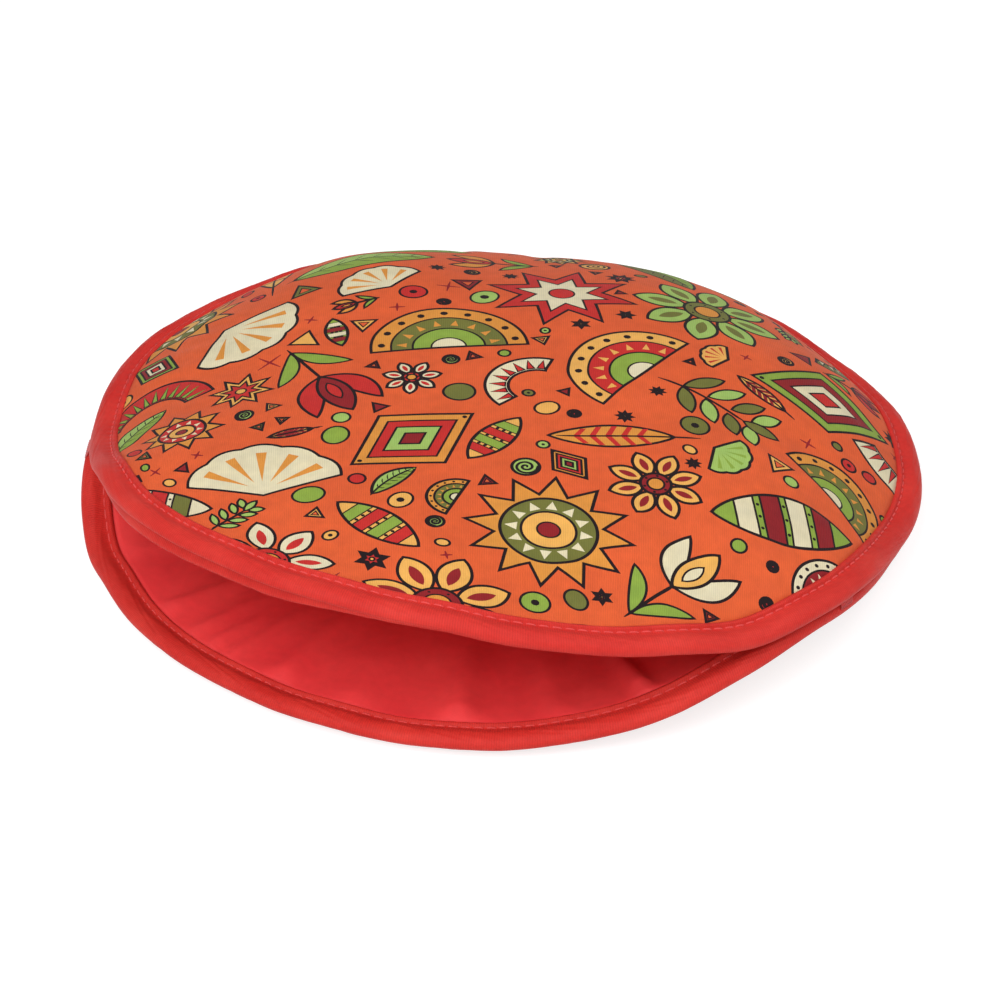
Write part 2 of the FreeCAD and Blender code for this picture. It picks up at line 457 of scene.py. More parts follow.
def spike(foot, tip, half):
    return np.array([[foot, -half], [tip, 0], [foot, half]])


def turned(points, degrees):
    a = math.radians(degrees)
    return np.asarray(points) @ np.array([[math.cos(a), math.sin(a)], [-math.sin(a), math.cos(a)]])


def mirrored(outline, side):
    """An outline as it is for side 1, and the other way round in x for side -1."""
    return (outline * [side, 1])[::side]


def signed_area(points):
    """Twice the area inside a closed outline, negative if it runs clockwise."""
    after = np.roll(points, -1, 0)
    return (points[:, 0] * after[:, 1] - points[:, 1] * after[:, 0]).sum()


def grown(points, by):
    """A closed outline moved outwards."""
    p = np.asarray(points, float)
    side = unit(np.roll(p, -1, 0) - p)
    ahead = pairs(side[:, 1], -side[:, 0])
    behind = np.roll(ahead, 1, 0)
    corner = (ahead + behind) / np.maximum(1 + (ahead * behind).sum(1), 0.35)[:, None]
    return p + corner * by * (1 if signed_area(p) > 0 else -1)


def line(path, width, colour="ink"):
    """A drawn line, as a thin closed outline that tapers at both ends."""
    p = np.asarray(path, float)
    along = unit(np.gradient(p, axis=0))
    side = pairs(-along[:, 1], along[:, 0]) * width / 2
    side[[0, -1]] *= 0.35
    return np.concatenate([p + side, (p - side)[::-1]]), colour


def inked(outline, colour, width=INK_WIDTH):
    return [(grown(outline, width / 2), "ink"), (grown(outline, -width / 2), colour)]


def spot(radius, at=(0, 0)):
    return loop(radius, 8, at), "ink"


def lens_half(width, share):
    """Half the width of a pointed oval, at shares of its length from the middle."""
    return width * (1 - share**2) ** LENS_POWER


def lens(length, width, bow=0.0):
    """A pointed oval from (-length, 0) to (length, 0), bowed sideways if asked."""
    x = np.linspace(-1, 1, max(10, int(length * 2 / 1.1)))
    middle, half = bow * (1 - x**2), lens_half(width, x)
    return np.concatenate([pairs(x * length, middle - half), pairs(x * length, middle + half)[-2:0:-1]])


def across_lens(length, width, start, end, inset):
    """The part of a pointed oval between two shares of its length."""
    x = np.linspace(start, end, 6)
    half = lens_half(width, x) - inset
    return np.concatenate([pairs(x * length, -half), pairs(x * length, half)[::-1]])


def scheme(chance, sets):
    """One of several sets of colours, which commas part."""
    return chance.choice([colours.split() for colours in sets.split(",")])


def rosette(size, chance):
    petals = chance.choice([6, 7, 8])
    outer, inner = scheme(chance, "cream red, tan wine, red tan, mint olive")
    made = []
    for turn in 360 * np.arange(petals) / petals:
        made += inked(turned(lens(size * 0.36, size * 0.21) + [size * 0.62, 0], turn), outer)
        made.append((turned(lens(size * 0.2, size * 0.075) + [size * 0.6, 0], turn), inner))
    made += inked(loop(size * 0.31), inner)
    made += inked(loop(size * 0.17), "amber", 0.8)
    return made + [spot(0.55, turned([size * 0.24, 0], turn)) for turn in range(0, 360, 60)]


def sunburst(size, chance):
    rays = chance.choice([10, 12, 14])
    made = inked(spiked(size, 0.66, rays), chance.choice(["tan", "amber", "cream"]))
    made += inked(loop(size * 0.58), chance.choice(["red", "olive"]))
    ray = spike(size * 0.38, size * 0.53, size * 0.07)
    made += [(turned(ray, turn), "cream") for turn in 360 * np.arange(rays) / rays]
    made += inked(loop(size * 0.33), "tan", 0.9)
    return made + inked(loop(size * 0.14), "wine", 0.7)


def leaf(size, chance):
    light, dark = scheme(chance, "green olive, mint green")
    bow = size * 0.14
    outline = lens(size, size * 0.36, bow)
    cut = len(outline) // 2
    half = np.concatenate([outline[:cut + 1], lens(size, 0.01, bow)[cut:]])
    x = np.linspace(-1.12, 0.86, 14)
    made = inked(outline, light) + [(grown(half, -0.4), dark), line(pairs(x * size, bow * (1 - x**2)), 0.8)]
    for share in np.arange(-0.62, 0.7, 0.26):
        foot = np.array([share * size, bow * (1 - share**2)])
        reach = size * 0.25 * (1 - share**2)
        for side in (1, -1):
            tip = foot + [reach * 0.9, side * reach]
            made.append(line([foot, (foot + tip) / 2 + [0, side * 0.3], tip], 0.5))
    return made


def sprig(size, chance):
    colour = chance.choice(["green", "olive", "mint"])
    y = np.linspace(-1, 0.5, 9)
    made = [line(pairs(0.08 * size * np.sin(2.2 * y), y * size), 1.1)]
    for n, share in enumerate((-0.62, -0.24, 0.14, 0.46)):
        foot = [0.08 * size * math.sin(2.2 * share), share * size]
        leaflet = turned(lens(size * (0.32 - 0.03 * n), size * 0.12) + [size * 0.34, 0], 38)
        for side in (1, -1):
            made += inked(mirrored(leaflet, side) + foot, colour if (n + side) % 2 else "mint", 0.9)
    bud = turned(lens(size * 0.28, size * 0.12), 90) + [0.07 * size, size * 0.72]
    return made + inked(bud, colour, 0.9)


def fan(size, chance):
    base, band = scheme(chance, "tan red, amber olive, cream wine")
    lift = np.array([0, -size * 0.45])
    made = inked(half_round(size) + lift, base)
    bands = (0.74, 0.1, band, 0.8), (0.46, 0.2, "green", 0.8), (0.22, 0.3, "cream", 0.7)
    for share, up, colour, ink in bands:
        made += inked(half_round(size * share) + lift + [0, up], colour, ink)
    made += [spot(size * 0.05, turned([size * 0.865, 0], turn) + lift) for turn in range(10, 190, 20)]
    ray = spike(size * 0.54, size * 0.68, size * 0.05)
    return made + [(turned(ray, 11 + 22.5 * n) + lift, base) for n in range(8)]


def lozenge(size, chance):
    colours = scheme(chance, "red cream olive tan, green wine cream red, amber red mint wine")
    made = []
    for n, colour in enumerate(colours):
        r = size * (1 - 0.26 * n)
        corners = np.array([[r, 0], [0, r * 0.72], [-r, 0], [0, -r * 0.72]])
        steps = np.linspace(0, 1, 7)[:-1, None]
        outline = np.concatenate([a + (b - a) * steps for a, b in zip(corners, np.roll(corners, -1, 0))])
        made += inked(outline, colour, 0.8 if n else INK_WIDTH)
    return made + [spot(size * 0.035, (side * size * 0.87, 0)) for side in (1, -1)]


def banded_lens(size, chance):
    base, first, second = scheme(chance, "tan red green, cream olive red, green wine cream")
    width = size * 0.4
    made = inked(lens(size, width), base)
    for middle, colour in ((-0.55, first), (-0.18, second), (0.18, first), (0.55, second)):
        made.append((across_lens(size, width, middle - 0.15, middle + 0.15, 0.3), "ink"))
        made.append((across_lens(size, width, middle - 0.12, middle + 0.12, 0.7), colour))
    for middle in (-0.365, 0.0, 0.365):
        half = lens_half(width, middle) - 1.6
        made += [spot(0.7, (middle * size, share * half)) for share in (-0.66, 0, 0.66)]
    return made


def whirl(size, chance):
    made = inked(loop(size), chance.choice(["red", "mint", "tan"]))
    t = np.linspace(0.4, 4.4 * math.pi, 46)
    return made + [line(on_round(size * 0.86 * t / t[-1], t), 1.0)]


def arch(size, chance):
    base, tooth = scheme(chance, "wine tan, red green, olive cream, cream red")
    sweep = math.radians(chance.choice([150, 180, 210]))
    inner, shift = size * 0.56, [size * 0.5, 0]
    t = np.linspace(-sweep / 2, sweep / 2, max(12, int(size * sweep / 1.1)))
    made = inked(np.concatenate([on_round(size, t), on_round(inner, t)[::-1]]) - shift, base)
    teeth = int(size * sweep / 5.5)
    step = sweep / teeth
    for n in range(teeth):
        middle = -sweep / 2 + step * (n + 0.5)
        reach, turn = np.array([inner + 1.1, size - 1.5, inner + 1.1]), np.array([-0.38, 0, 0.38])
        corners = on_round(reach, middle + step * turn)
        made += inked(corners - shift, tooth, 0.6)
    return made


def tulip(size, chance):
    petal, inner = scheme(chance, "red wine, cream tan, amber red")
    made = [line(pairs(0, np.linspace(-1, 0, 8) * size), 1.3)]
    blade = turned(lens(size * 0.42, size * 0.11, size * 0.07), 52) + [size * 0.27, -size * 0.55]
    outer = turned(lens(size * 0.5, size * 0.17, -size * 0.1), 62) + [size * 0.22, size * 0.36]
    for outline, colour, ink in ((blade, "green", 0.9), (outer, petal, INK_WIDTH)):
        for side in (1, -1):
            made += inked(mirrored(outline, side), colour, ink)
    made += inked(turned(lens(size * 0.48, size * 0.2), 90) + [0, size * 0.4], inner)
    return made + inked(turned(lens(size * 0.22, size * 0.08), 90) + [0, size * 0.34], petal, 0.7)


def star(size, chance):
    points = chance.choice([6, 8])
    first, second = scheme(chance, "tan red, cream olive, red cream")
    made = inked(spiked(size, 0.55, points), first)
    made += inked(spiked(size * 0.62, 0.55, points), second, 0.8)
    return made + inked(loop(size * 0.17), first, 0.7)


def feather(size, chance):
    base, bar = scheme(chance, "tan wine, mint olive, amber red")
    width, length, shift = size * 0.24, size * 0.86, size * 0.14
    made = inked(lens(length, width) + [shift, 0], base)
    for share in np.arange(-0.5, 0.75, 0.25):
        half, x = lens_half(width, share) - 0.5, share * length + shift
        chevron = [(-2.2, -half), (0.6, 0), (-2.2, half), (-0.2, half), (2.8, 0), (-0.2, -half)]
        made.append((np.array(chevron)[::-1] + [x, 0], bar))
    return made + [line(pairs(np.linspace(-1.1, 0.9, 12) * size, 0), 0.9)]


def shell(size, chance):
    colour, rib = scheme(chance, "cream amber, tan red, mint green")
    t = np.linspace(-0.42 * math.pi, 0.42 * math.pi, 41)
    radius = size * (1 + 0.05 * np.abs(np.sin(5 * (t / 0.84 + math.pi / 2))))
    scallops = on_round(radius, t)[::-1, ::-1] - [0, size * 0.5]
    made = inked(np.concatenate([scallops, [[0, -size * 0.62]]]), colour)
    for n in range(5):
        away = on_round(size, math.radians(-56 + 28 * n))[::-1]
        foot, tip = away * 0.2 - [0, size * 0.5], away * 0.86 - [0, size * 0.5]
        wide = away[::-1] * [0.07, -0.07]
        made.append((np.array([foot, tip - wide, tip + wide]), rib))
    return made


def dot(size, chance):
    outline = loop(size, squeeze=chance.choice([1, 0.8]))
    made = inked(outline, chance.choice(["tan", "green", "mint", "olive", "red"]), 0.9)
    return made + [spot(size * 0.3)] if chance.random() < 0.5 else made


def triangle(size, chance):
    corners = loop(size * 1.15, 3)
    made = inked(corners, chance.choice(["wine", "olive", "tan"]), 1.0)
    return made + inked(corners * 0.42, "ground", 0.5) if chance.random() < 0.5 else made


def cross(size, chance):
    ends = np.array([-size, 0, size])
    return [line(pairs(ends, 0), 1.1, "wine"), line(pairs(0, ends), 1.1, "wine")]


LARGE = [rosette, leaf, fan, sunburst, banded_lens, arch, tulip, lozenge, feather, sprig, shell, star]
SMALL = [whirl, dot, triangle, dot, star, cross, triangle, dot]

# Each round of the print: its motifs, their first and last size, how many are tried and the room they keep.
PRINT_ROUNDS = [
    (LARGE, 28, 20, 260, 2), (LARGE, 20, 13, 500, 2), (LARGE, 13, 8.5, 700, 2),
    (SMALL, 6.0, 4.2, 500, 2), (SMALL, 3.2, 2.0, 900, 2),
]


def covered_cells(motif, spread=0):
    """The grid cells that a motif covers, grown by a number of cells, as their columns and rows."""
    points = np.concatenate([p for p, _ in motif])
    low = np.floor(points.min(0) / PRINT_CELL).astype(int) - spread
    high = np.ceil(points.max(0) / PRINT_CELL).astype(int) + spread
    ticks = [np.arange(low[axis], high[axis] + 1) for axis in (0, 1)]
    columns, rows = np.meshgrid(*ticks, indexing="ij")
    centres = (pairs(columns.ravel(), rows.ravel()) + 0.5) * PRINT_CELL
    full = np.zeros(len(centres), bool)
    for outline, _ in motif:
        full |= inside(outline, centres)
    full = full.reshape(columns.shape)
    for _ in range(spread):
        full = full | sum(np.roll(full, step, axis) for step in (1, -1) for axis in (0, 1)).astype(bool)
    return columns[full], rows[full]


def scattered_print(radius, seed):
    """Motifs of falling size, each turned at random and dropped where it clears the ones already there."""
    chance = random.Random(seed)
    half = int(radius / PRINT_CELL) + 60
    taken = np.zeros((2 * half, 2 * half), bool)
    shapes = []
    order = 0
    for kinds, biggest, smallest, tries, clear in PRINT_ROUNDS:
        for n in range(tries):
            size = biggest + (smallest - biggest) * n / tries
            reach = (radius + size * 0.3) * math.sqrt(chance.random())
            bearing = chance.uniform(0, 2 * math.pi)
            centre = on_round(reach, bearing)
            turn, look = chance.uniform(0, 360), chance.random()
            column, row = (centre / PRINT_CELL).astype(int) + half
            if taken[column - 2:column + 3, row - 2:row + 3].any():
                continue
            kind = kinds[order % len(kinds)]
            motif = [(turned(p, turn) + centre, c) for p, c in kind(size, random.Random(look))]
            columns, rows = covered_cells(motif)
            if taken[columns + half, rows + half].any():
                continue
            columns, rows = covered_cells(motif, clear)
            taken[columns + half, rows + half] = True
            shapes += motif
            order += 1
    return shapes


def inside(outline, points):
    """Which points lie inside a closed outline, by how often it winds round them."""
    winding = np.zeros(len(points), int)
    for (ax, ay), (bx, by) in zip(outline, np.roll(outline, -1, 0)):
        left = (bx - ax) * (points[:, 1] - ay) - (points[:, 0] - ax) * (by - ay) > 0
        winding += (ay <= points[:, 1]) & (by > points[:, 1]) & left
        winding -= (ay > points[:, 1]) & (by <= points[:, 1]) & ~left
    return winding != 0


def close_set(outline, step):
    """The points of a closed outline, with more of them along its long sides."""
    made = []
    for here, ahead in zip(outline, np.roll(outline, -1, 0)):
        count = math.ceil(max(1, math.dist(here, ahead) / step))
        made += [tuple(here + (ahead - here) * n / count) for n in range(count)]
    return made


def printed_cloth(seed, pitch):
    """The flat printed disc: its points, its triangles and each triangle's colour."""
    shapes = scattered_print(CLOTH_RADIUS, seed)
    points, edges = [], []
    for outline in [loop(CLOTH_RADIUS, 720)] + [outline for outline, _ in shapes]:
        corners = close_set(outline, pitch)
        first, count = len(points), len(corners)
        edges += [(first + n, first + (n + 1) % count) for n in range(count)]
        points += corners
    points += [tuple(p) for p in ring_points(CLOTH_RADIUS - pitch, pitch)]
    found = delaunay_2d_cdt([Vector(p) for p in points], edges, [], 0, 1e-4, False)
    flat, triangles = np.array([tuple(p) for p in found[0]]), np.array(found[2])
    middle = flat[triangles].mean(1)
    within = np.hypot(middle[:, 0], middle[:, 1]) < CLOTH_RADIUS * (1 - 1e-5)
    triangles, middle = triangles[within], middle[within]
    order = np.argsort(middle[:, 0])
    across = middle[order, 0]
    tints = np.full(len(triangles), "ground", dtype=object)
    for outline, colour in shapes:
        first, last = np.searchsorted(across, (outline[:, 0].min(), outline[:, 0].max()))
        near = order[first:last]
        near = near[(middle[near, 1] > outline[:, 1].min()) & (middle[near, 1] < outline[:, 1].max())]
        tints[near[inside(outline, middle[near])]] = colour
    used = np.unique(triangles)
    number = np.full(len(flat), -1)
    number[used] = np.arange(len(used))
    return flat[used], number[triangles], list(tints)


# ---------------------------------------------------------------- node materials
LINING_RED, LINING_LIGHT = (232, 60, 64), (240, 72, 72)
TAPE_RED, TAPE_LIGHT = (200, 44, 39), (213, 57, 49)
THREAD_RED, THREAD_LIGHT = (222, 62, 62), (238, 92, 88)
BATTING_GREY, BATTING_LIGHT = (222, 216, 204), (246, 243, 236)
SUN_FADED = (246, 214, 150)


class Nodes:
    """A material under construction."""

    def __init__(self, name):
        self.material = bpy.data.materials.new(name)
        self.material.use_nodes = True
        self.tree = self.material.node_tree

    def add(self, kind, inputs=(), **settings):
        """A node with these settings, and with its inputs filled from (input, value) pairs."""
        node = self.tree.nodes.new(kind)
        for name, value in settings.items():
            setattr(node, name, value)
        return self.fill(node, inputs)

    def fill(self, node, inputs):
        """Joins each input to an output, or sets it to a value."""
        for name, value in inputs:
            if isinstance(value, bpy.types.NodeSocket):
                self.tree.links.new(value, node.inputs[name])
            else:
                node.inputs[name].default_value = value
        return node

    def math(self, operation, *values):
        return self.add("ShaderNodeMath", enumerate(values), operation=operation).outputs[0]


class Finish(Nodes):
    """A cloth or thread: its sheen, and helpers for its weave, blotches and colours."""

    def __init__(self, name, roughness, specular, sheen, sheen_tint=(1, 1, 1)):
        super().__init__(name)
        self.shader = self.fill(self.tree.nodes["Principled BSDF"], [
            ("Roughness", roughness), ("Specular IOR Level", specular), ("Sheen Weight", sheen),
            ("Sheen Roughness", 0.4), ("Sheen Tint", (*sheen_tint, 1)),
        ])

    def times(self, first, second):
        return self.math("MULTIPLY", first, second)

    def times_plus(self, first, factor, more):
        return self.math("MULTIPLY_ADD", first, factor, more)

    def cloth_map(self):
        """The two cloth coordinates, in millimetres, as (vector, u, v)."""
        uv = self.add("ShaderNodeUVMap", uv_map="cloth").outputs[0]
        return uv, *self.add("ShaderNodeSeparateXYZ", [(0, uv)]).outputs[:2]

    def ribs(self, along, pitch, wobble=0.0):
        """Rounded ribs across a coordinate in millimetres, from 0 to 1."""
        turn = self.times_plus(along, 2 * math.pi / pitch, wobble)
        return self.times_plus(self.math("SINE", turn), 0.5, 0.5)

    def noise(self, vector, size, detail=3.0, roughness=0.5):
        """Noise from 0 to 1 whose blotches are about so many units of the vector across."""
        inputs = [("Vector", vector), ("Scale", 1 / size), ("Detail", detail), ("Roughness", roughness)]
        return self.add("ShaderNodeTexNoise", inputs).outputs["Fac"]

    def blotches(self, vector, size, low, high, detail=3.0, roughness=0.5):
        """Noise whose usual range is stretched to run from low to high."""
        noise = self.noise(vector, size, detail, roughness)
        inputs = [("Value", noise), ("From Min", 0.3), ("From Max", 0.7), ("To Min", low), ("To Max", high)]
        return self.add("ShaderNodeMapRange", inputs).outputs["Result"]

    def mixed(self, share, first, second, blend="MIX"):
        """A mix of two colours, each an output or three numbers."""
        first, second = (c if isinstance(c, bpy.types.NodeSocket) else (*c, 1) for c in (first, second))
        inputs = [("Factor", share), (6, first), (7, second)]
        return self.add("ShaderNodeMix", inputs, data_type="RGBA", blend_type=blend).outputs[2]

    def shaded(self, colour, value):
        """A colour made lighter or darker by a factor."""
        grey = self.add("ShaderNodeCombineColor", [(n, value) for n in range(3)])
        return self.mixed(1.0, colour, grey.outputs[0], "MULTIPLY")

    def finish(self, colour, height, depth):
        """Joins the colour and a bump whose height of 1 stands so many millimetres proud."""
        bump = self.add("ShaderNodeBump", [("Distance", depth * MM), ("Strength", 1.0), ("Height", height)])
        self.fill(self.shader, [("Normal", bump.outputs[0]), ("Base Color", colour)])
        return self.material


def printed_finish():
    f = Finish("printed_cotton", 0.72, 0.15, 0.06)
    cloth, u, v = f.cloth_map()
    print_colour = f.add("ShaderNodeVertexColor", layer_name="print").outputs[0]
    slant = math.radians(WARP_SLANT)
    across = f.times_plus(u, math.cos(slant), f.times(v, math.sin(slant)))
    along = f.times_plus(v, math.cos(slant), f.times(u, -math.sin(slant)))
    warp = f.ribs(across, 0.75, f.times(f.noise(cloth, 9.0), 1.5))
    weft = f.ribs(along, 0.52)
    brushed = f.times(f.blotches(cloth, 34.0, 0.93, 1.05), f.blotches(cloth, 5.0, 0.94, 1.06, 4.0))
    weave = f.times_plus(warp, 0.10, f.times_plus(weft, 0.03, 0.91))
    warm = f.mixed(f.blotches(cloth, 11.0, 0.0, 0.16, 2.0), print_colour, linear(SUN_FADED), "SOFT_LIGHT")
    return f.finish(f.shaded(warm, f.times(brushed, weave)), f.times_plus(weft, 0.4, warp), 0.05)


def lining_finish():
    f = Finish("red_lining", 0.55, 0.14, 0.03, (1, 0.5, 0.45))
    cloth, u, v = f.cloth_map()
    weave = f.times_plus(f.ribs(u, 0.42), 0.5, f.times(f.ribs(v, 0.46), 0.5))
    tone = f.mixed(f.blotches(cloth, 30.0, 0, 1), linear(LINING_RED), linear(LINING_LIGHT))
    shade = f.times_plus(weave, 0.05, f.blotches(cloth, 4.0, 0.94, 1.02, 4.0))
    return f.finish(f.shaded(tone, shade), weave, 0.03)


def tape_finish():
    f = Finish("ribbed_tape", 0.5, 0.12, 0.02, (1, 0.5, 0.4))
    cloth, u, v = f.cloth_map()
    ribs = f.ribs(f.times_plus(v, 0.04, u), 0.8, f.times(f.noise(cloth, 14.0), 2.0))
    tone = f.mixed(f.blotches(cloth, 22.0, 0, 1), linear(TAPE_RED), linear(TAPE_LIGHT))
    shade = f.times(f.times_plus(ribs, 0.13, 0.89), f.blotches(cloth, 2.4, 0.95, 1.04, 4.0))
    return f.finish(f.shaded(tone, shade), ribs, 0.06)


def batting_finish():
    f = Finish("polyester_batting", 0.9, 0.15, 0.3)
    cloth = f.cloth_map()[0]
    colour = f.mixed(f.blotches(cloth, 1.6, 0, 1, 6.0, 0.7), linear(BATTING_GREY), linear(BATTING_LIGHT))
    return f.finish(colour, f.noise(cloth, 1.6, 6.0, 0.7), 0.5)


def thread_finish():
    f = Finish("spun_thread", 0.6, 0.3, 0.2)
    cloth, u, v = f.cloth_map()
    ply = f.ribs(f.times_plus(v, 0.6, u), 0.45)
    tone = f.mixed(f.noise(cloth, 12.0), linear(THREAD_RED), linear(THREAD_LIGHT))
    return f.finish(f.shaded(tone, f.times_plus(ply, 0.2, 0.84)), ply, 0.05)


PRINTED, BATTING, LINING, TAPE, THREAD = (
    printed_finish(), batting_finish(), lining_finish(), tape_finish(), thread_finish()
)


# ---------------------------------------------------------------- the padded panels
def plain_cloth(pitch, rim):
    """A flat disc of cloth without a print, inside the rim points given."""
    points = [Vector(p) for p in np.concatenate([rim, ring_points(CLOTH_RADIUS - pitch, pitch)])]
    found = delaunay_2d_cdt(points, [], [list(range(len(rim)))], 1, 1e-5, False)
    return np.array([tuple(p) for p in found[0]]), found[2]


def rim_of(flat, faces):
    """The points on the rim of a flat disc, in order of bearing."""
    f = np.array(faces)
    sides = np.sort(np.concatenate([f[:, [0, 1]], f[:, [1, 2]], f[:, [2, 0]]]), 1)
    sides, used = np.unique(sides, axis=0, return_counts=True)
    rim = np.unique(sides[used == 1])
    return rim[np.argsort(np.arctan2(flat[rim, 1], flat[rim, 0]))]


def wall_between(rim_a, turn_a, rim_b, turn_b):
    """Triangles that join two closed rims, each given in order of bearing, with its bearings."""
    steps = sorted([(turn, 0) for turn in turn_a[1:]] + [(turn, 1) for turn in turn_b[1:]])
    steps += [(0, 0), (0, 1)]
    rims, at = (rim_a, rim_b), [0, 0]
    faces = []
    for _, which in steps:
        here = (rim_a[at[0] % len(rim_a)], rim_b[at[1] % len(rim_b)])
        at[which] += 1
        faces.append((*here, rims[which][at[which] % len(rims[which])]))
    return faces


def closed_disc(name, outer, inner, facing):
    """A closed body between two lifted discs of cloth, each (flat points, triangles, lifted points).

    facing is 1 if the first disc is the upper one, and -1 if it is the lower one."""
    flat_a, faces_a, lifted_a = outer
    flat_b, faces_b, lifted_b = inner
    count = len(flat_a)
    rim_a, rim_b = rim_of(flat_a, faces_a), rim_of(flat_b, faces_b)
    wall = wall_between(rim_a, polar(flat_a[rim_a])[1], rim_b + count, polar(flat_b[rim_b])[1])
    faces = [tuple(f)[::facing] for f in faces_a] + [tuple(i + count for i in f)[::-facing] for f in faces_b]
    faces += [face[::facing] for face in wall]
    made = make_mesh(name, np.concatenate([lifted_a, lifted_b]), faces)
    set_cloth_map(made, np.concatenate([flat_a, flat_b]))
    return made


def paint(obj, tints):
    """Gives the first faces their print colours, and the rest the colour of the ground."""
    layer = obj.data.color_attributes.new("print", "BYTE_COLOR", "CORNER")
    sides = np.zeros(len(obj.data.polygons), np.int32)
    obj.data.polygons.foreach_get("loop_total", sides)
    known = {name: [*linear(rgb), 1.0] for name, rgb in PALETTE.items()}
    rgba = np.array([known[t] for t in tints] + [known["ground"]] * (len(sides) - len(tints)), np.float32)
    layer.data.foreach_set("color", np.repeat(rgba, sides, 0).ravel())


def lifted(face, flat, puckers, side):
    """Points of the flat cloth on a panel's face, moved off it by the puckers on the given side."""
    return face(flat) + normals_of(face, flat * 0.999) * (side * puckers(flat))[:, None]


def padded_panel(name, face, side, seed, puckers):
    """A printed cover and the batting behind it, closed round the rim. side is 1 if the print is on top."""
    flat, triangles, tints = printed_cloth(seed, COVER_PITCH)
    rim = flat[rim_of(flat, triangles)]
    back_flat, back_triangles = plain_cloth(BATTING_PITCH, rim)
    front = lifted(lambda p: face(p, 0.0, side * COVER_TUCK), flat, puckers, side)
    back = face(back_flat, -side * (PANEL_THICKNESS - LINING_THICKNESS - SLACK), side * 0.3)
    made = closed_disc(name, (flat, triangles, front), (back_flat, back_triangles, back), side)
    paint(made, tints)
    for material in (PRINTED, BATTING):
        made.data.materials.append(material)
    behind = np.arange(len(made.data.polygons)) >= len(triangles)
    made.data.polygons.foreach_set("material_index", behind.astype(np.int32))
    return made


def lining_sheet(name, face, side, puckers):
    """The plain cloth inside a panel. side is 1 for the panel whose lining faces down."""
    flat, triangles = plain_cloth(LINING_PITCH, loop(CLOTH_RADIUS, 480))
    shown = lifted(lambda p: face(p, -side * PANEL_THICKNESS, -side * COVER_TUCK), flat, puckers, -side)
    hidden = shown + [0, 0, side * LINING_THICKNESS]
    made = closed_disc(name, (flat, triangles, shown), (flat, triangles, hidden), -side)
    made.data.materials.append(LINING)
    return made


def radial_folds(folds):
    """How high soft folds that run in from the rim stand, as a function of points on the flat cloth."""
    def height(flat):
        share, bearing = polar(flat)
        total = np.zeros(len(flat))
        for middle, width, tall, inner in folds:
            off = ((bearing - middle + 180) % 360 - 180) * math.pi / 180 * np.hypot(flat[:, 0], flat[:, 1])
            along = smooth((share - inner) / (0.93 - inner)) * smooth((1.0 - share) / 0.045)
            total += tall * along * np.exp(-((off / (width * (0.35 + 0.65 * share))) ** 2))
        return total

    return height


# ---------------------------------------------------------------- the bindings
def tape_height(inset):
    """How far a binding's face stands off the panel's middle, by distance in from the outer edge."""
    a = np.asarray(inset, float)
    roll = BULGE_HEIGHT * np.sqrt(np.clip(1 - ((BULGE_MIDDLE - a) / BULGE_MIDDLE) ** 2, 0, 1))
    sunk = smooth((a - BULGE_MIDDLE) / (GROOVE_INSET - BULGE_MIDDLE))
    slope = GROOVE_HEIGHT + (BULGE_HEIGHT - GROOVE_HEIGHT) * (1 - sunk)
    ridge = GROOVE_HEIGHT + (RIDGE_HEIGHT - GROOVE_HEIGHT) * smooth((a - GROOVE_INSET) / 1.1)
    edge = ridge - 0.75 * smooth((a - (TAPE_WIDTH - 0.9)) / 0.9)
    return np.where(a < BULGE_MIDDLE, roll, np.where(a < GROOVE_INSET, slope, edge))


def tape_section():
    """Half of a binding's cross-section, from its inner edge out to the middle of the roll, as insets."""
    ridge = np.linspace(TAPE_WIDTH, GROOVE_INSET, 9)[:-1]
    slope = np.linspace(GROOVE_INSET, BULGE_MIDDLE, 8)[:-1]
    roll = BULGE_MIDDLE * (1 - np.sin(np.linspace(0, math.pi / 2, 15)))
    return np.concatenate([ridge, slope, roll])


def swept(name, rings, u, v, material):
    """A tube through rings of points, (along, around, 3), closed both ways. u and v are its cloth map."""
    n, m = rings.shape[:2]
    i, j = (grid.ravel() for grid in np.meshgrid(np.arange(n), np.arange(m), indexing="ij"))
    corners = [(i, j), (i, j + 1), (i + 1, j + 1), (i + 1, j)]
    faces = np.stack([(a % n) * m + b % m for a, b in corners], -1)
    made = make_mesh(name, rings.reshape(-1, 3), faces)
    layer = made.data.uv_layers.new(name="cloth")
    flat = np.stack([np.stack([u[a], v[b]], -1) for a, b in corners], 1)
    layer.data.foreach_set("uv", flat.astype(np.float32).ravel())
    made.data.materials.append(material)
    return made


